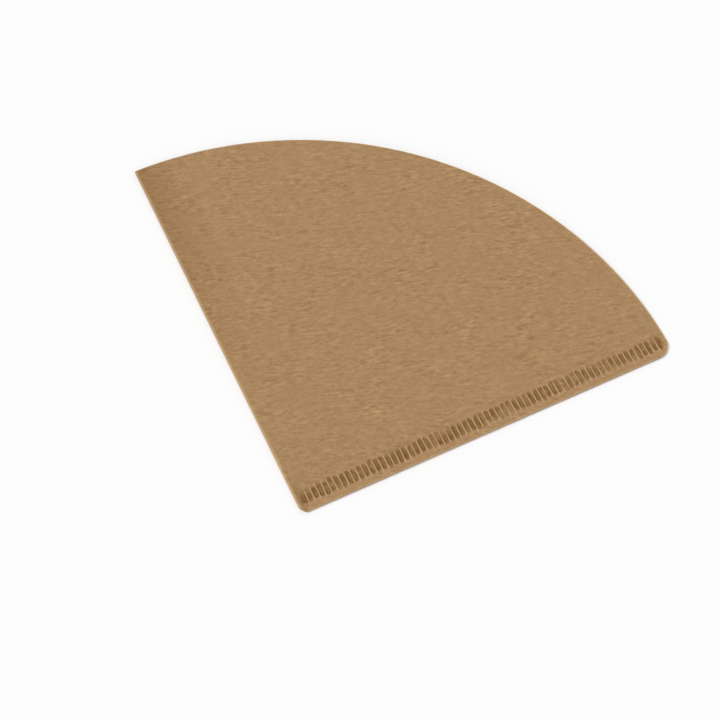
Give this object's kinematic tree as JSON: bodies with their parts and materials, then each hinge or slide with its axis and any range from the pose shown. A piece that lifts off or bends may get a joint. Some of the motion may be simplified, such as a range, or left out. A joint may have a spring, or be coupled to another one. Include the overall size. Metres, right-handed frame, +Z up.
{
  "type": "paper coffee filter",
  "caption": "Cone paper coffee filter, folded flat: a quarter-round wedge of brown creped paper, creased down a side, crimped shut down the other and open along the curved rim.",
  "frame": {"origin": "on the surface that the folded filter lies on, under the middle of its bounding box", "axes": "+Z up, +Y along the crease from the tip to the rim, +X along the crimped seam from the tip to the rim"},
  "size_m": [0.1256, 0.1318, 0.0017],
  "materials": {
    "filter_paper": "matte unbleached creped paper"
  },
  "bodies": {
    "root": {"folded_filter": "filter_paper"}
  },
  "joints": []
}
